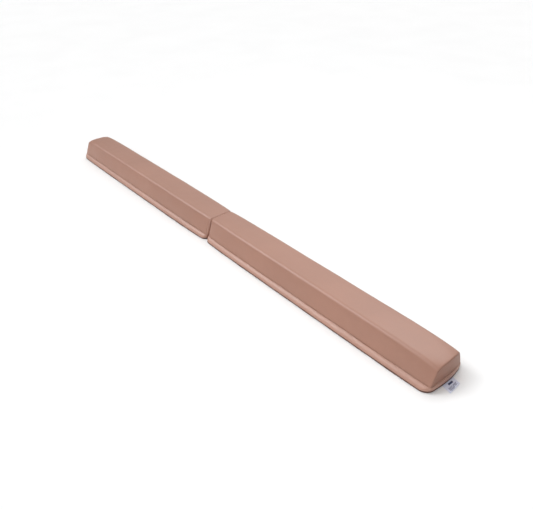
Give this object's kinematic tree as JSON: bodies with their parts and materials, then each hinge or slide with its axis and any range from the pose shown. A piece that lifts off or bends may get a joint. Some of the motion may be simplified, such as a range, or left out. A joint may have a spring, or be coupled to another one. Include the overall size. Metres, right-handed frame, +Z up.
{
  "type": "folding floor balance beam",
  "caption": "Low padded balance beam for the floor, with a narrow flat top, sloped walls and a flared foot, in two halves that fold together at a sewn joint.",
  "frame": {"origin": "on the floor below the fold, midway across the beam's width", "axes": "+X along the beam towards the right half's outer end, +Y towards the side with the zippers, +Z up"},
  "size_m": [2.12, 0.18, 0.085],
  "materials": {
    "cover_vinyl": "satin",
    "end_vinyl": "satin",
    "band_vinyl": "satin",
    "binding_strip": "matte",
    "grip_fabric": "matte",
    "core_foam": "matte",
    "pad_foam": "matte",
    "zipper_fabric": "matte",
    "zipper_nylon": "satin",
    "zipper_metal": "satin",
    "label_satin": "satin"
  },
  "bodies": {
    "right_half": {"right_base_core": "core_foam", "right_main_core": "core_foam", "right_top_pad": "pad_foam", "right_cover_wrap": "cover_vinyl", "right_outer_end_panel": "end_vinyl", "right_inner_end_panel": "end_vinyl", "right_base_band": "band_vinyl", "right_base_binding": "binding_strip", "right_bottom_panel": "grip_fabric", "right_zipper_tape": "zipper_fabric", "right_zipper_coil": "zipper_nylon", "right_zipper_stops": "zipper_metal", "hinge_tape": "binding_strip", "care_label": "label_satin"},
    "left_half": {"left_base_core": "core_foam", "left_main_core": "core_foam", "left_top_pad": "pad_foam", "left_cover_wrap": "cover_vinyl", "left_outer_end_panel": "end_vinyl", "left_inner_end_panel": "end_vinyl", "left_base_band": "band_vinyl", "left_base_binding": "binding_strip", "left_bottom_panel": "grip_fabric", "left_zipper_tape": "zipper_fabric", "left_zipper_coil": "zipper_nylon", "left_zipper_stops": "zipper_metal"},
    "right_slider": {"right_zipper_slider": "zipper_metal"},
    "right_pull": {"right_zipper_pull": "zipper_metal"},
    "left_slider": {"left_zipper_slider": "zipper_metal"},
    "left_pull": {"left_zipper_pull": "zipper_metal"}
  },
  "joints": [
    {"name": "fold", "type": "hinge", "parent": "right_half", "child": "left_half", "pos_m": [0, 0, 0.0854], "axis": [0, 1, 0], "range_deg": [0, 180], "deforming": ["hinge_tape"]},
    {"name": "right_zip", "type": "slide", "parent": "right_half", "child": "right_slider", "axis": [-1, 0, 0], "range_m": [0, 0.895]},
    {"name": "right_pull_flip", "type": "hinge", "parent": "right_slider", "child": "right_pull", "pos_m": [0.97, 0.08492, 0.0148], "axis": [0, 0.717, -0.6971], "range_deg": [0, 180]},
    {"name": "left_zip", "type": "slide", "parent": "left_half", "child": "left_slider", "axis": [1, 0, 0], "range_m": [0, 0.895]},
    {"name": "left_pull_flip", "type": "hinge", "parent": "left_slider", "child": "left_pull", "pos_m": [-0.97, 0.08492, 0.0148], "axis": [0, -0.717, 0.6971], "range_deg": [0, 180]}
  ]
}
